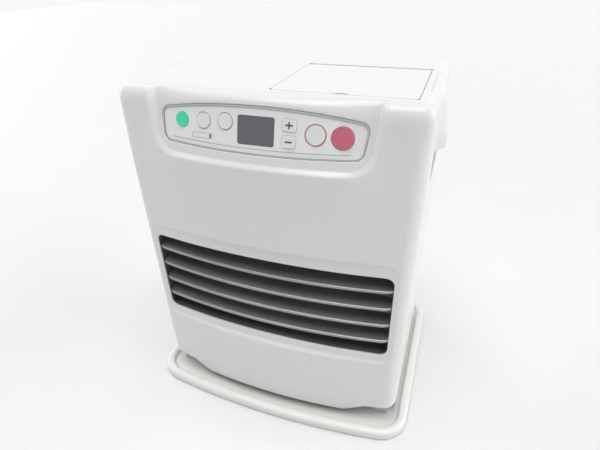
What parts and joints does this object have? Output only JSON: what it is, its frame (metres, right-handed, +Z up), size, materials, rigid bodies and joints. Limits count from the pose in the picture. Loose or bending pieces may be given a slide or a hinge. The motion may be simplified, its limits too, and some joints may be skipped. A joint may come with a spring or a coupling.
{
  "type": "kerosene fan heater",
  "caption": "Free-standing kerosene fan heater on a tray: bowed front with louvred warm-air outlet, sloping key console, hinged tank lid, carry grips and rear fan guard with filter.",
  "frame": {"origin": "middle of the tray's outline, on the floor", "axes": "+Z up, the louvred front faces -Y, +X to the right as seen from the front"},
  "size_m": [0.371, 0.299, 0.429],
  "materials": {
    "casing_white": "smooth moulded, soft gloss",
    "panel_white": "baked enamel on folded sheet",
    "tray_white": "baked enamel on pressed sheet",
    "film_grey": "satin printed film",
    "bezel_grey": "satin",
    "display_dark": "tinted window, gloss",
    "key_green": "satin gloss",
    "key_white": "satin gloss",
    "key_pink": "satin gloss",
    "louvre_grey": "heat-proof enamel, satin",
    "bare_sheet": "zinc-plated sheet",
    "hot_sheet": "heat-tinted steel",
    "porcelain": "glazed",
    "board_green": "solder-masked board",
    "switch_black": "moulded",
    "copper": "drawn tube",
    "fitting_white": "moulded",
    "handle_red": "moulded",
    "guard_grey": "moulded, light grain",
    "rubber_black": "moulded"
  },
  "bodies": {
    "casing": {"front_panel": "casing_white", "top_cover": "casing_white", "carry_grip_left": "casing_white", "carry_grip_right": "casing_white", "side_panel_left": "panel_white", "side_panel_right": "panel_white", "rear_panel": "panel_white", "tray": "tray_white", "control_film": "film_grey", "console_bezel": "bezel_grey", "display_window": "display_dark", "louvre_frame": "louvre_grey", "louvre_blade_1": "louvre_grey", "louvre_blade_2": "louvre_grey", "louvre_blade_3": "louvre_grey", "louvre_blade_4": "louvre_grey", "base_pan": "bare_sheet", "heat_shield": "bare_sheet", "electrics_plate": "bare_sheet", "sump": "bare_sheet", "fan_shroud": "bare_sheet", "cartridge_tank": "bare_sheet", "solenoid": "bare_sheet", "fan_motor": "bare_sheet", "fuel_pump": "bare_sheet", "level_stem": "bare_sheet", "lid_hinge_pins": "bare_sheet", "tray_screws": "bare_sheet", "rear_screws": "bare_sheet", "transformer": "bare_sheet", "burner_box": "hot_sheet", "burner": "hot_sheet", "vaporiser": "hot_sheet", "igniter": "porcelain", "flame_rod": "porcelain", "control_board": "board_green", "main_board": "board_green", "key_switches": "switch_black", "fuel_pipe": "copper", "strainer": "fitting_white", "tank_cap": "fitting_white", "tank_handle": "handle_red", "fan_guard": "guard_grey", "sensor_holder": "guard_grey", "tray_pads": "rubber_black", "cord_gland": "rubber_black"},
    "lid": {"tank_lid": "casing_white"},
    "fan_rotor": {"fan": "guard_grey", "fan_shaft": "bare_sheet"},
    "filter": {"air_filter": "guard_grey"},
    "float_body": {"float": "fitting_white"},
    "pump_core": {"pump_plunger": "bare_sheet"},
    "needle": {"needle_valve": "bare_sheet"},
    "eco_key_cap": {"eco_key": "key_green"},
    "timer_key_cap": {"timer_key": "key_white"},
    "lock_key_cap": {"lock_key": "key_white"},
    "extend_key_cap": {"extend_key": "key_white"},
    "run_key_cap": {"run_key": "key_pink"},
    "plus_key_cap": {"plus_key": "key_white"},
    "minus_key_cap": {"minus_key": "key_white"}
  },
  "joints": [
    {"name": "lid_hinge", "type": "hinge", "parent": "casing", "child": "lid", "pos_m": [0.077, 0.041, 0.424], "axis": [-1, 0, 0], "range_deg": [0, 95]},
    {"name": "fan_spin", "type": "hinge", "parent": "casing", "child": "fan_rotor", "pos_m": [-0.07, 0.095, 0.205], "axis": [0, 1, 0], "continuous": true},
    {"name": "filter_lift", "type": "slide", "parent": "casing", "child": "filter", "axis": [0, 0, 1], "range_m": [0, 0.21]},
    {"name": "float_rise", "type": "slide", "parent": "casing", "child": "float_body", "axis": [0, 0, 1], "range_m": [0, 0.014]},
    {"name": "pump_stroke", "type": "slide", "parent": "casing", "child": "pump_core", "axis": [0, 0, 1], "range_m": [0, 0.004], "stiffness_N_per_m": 300},
    {"name": "needle_lift", "type": "slide", "parent": "casing", "child": "needle", "axis": [0, 1, 0], "range_m": [0, 0.0025], "stiffness_N_per_m": 400},
    {"name": "eco_key_press", "type": "slide", "parent": "casing", "child": "eco_key_cap", "axis": [0, 0.9681, -0.2504], "range_m": [0, 0.0012], "stiffness_N_per_m": 800},
    {"name": "timer_key_press", "type": "slide", "parent": "casing", "child": "timer_key_cap", "axis": [0, 0.9681, -0.2504], "range_m": [0, 0.0012], "stiffness_N_per_m": 800},
    {"name": "lock_key_press", "type": "slide", "parent": "casing", "child": "lock_key_cap", "axis": [0, 0.9681, -0.2504], "range_m": [0, 0.0012], "stiffness_N_per_m": 800},
    {"name": "extend_key_press", "type": "slide", "parent": "casing", "child": "extend_key_cap", "axis": [0, 0.9681, -0.2504], "range_m": [0, 0.0012], "stiffness_N_per_m": 800},
    {"name": "run_key_press", "type": "slide", "parent": "casing", "child": "run_key_cap", "axis": [0, 0.9681, -0.2504], "range_m": [0, 0.0012], "stiffness_N_per_m": 800},
    {"name": "plus_key_press", "type": "slide", "parent": "casing", "child": "plus_key_cap", "axis": [0, 0.9681, -0.2504], "range_m": [0, 0.0012], "stiffness_N_per_m": 800},
    {"name": "minus_key_press", "type": "slide", "parent": "casing", "child": "minus_key_cap", "axis": [0, 0.9681, -0.2504], "range_m": [0, 0.0012], "stiffness_N_per_m": 800}
  ]
}
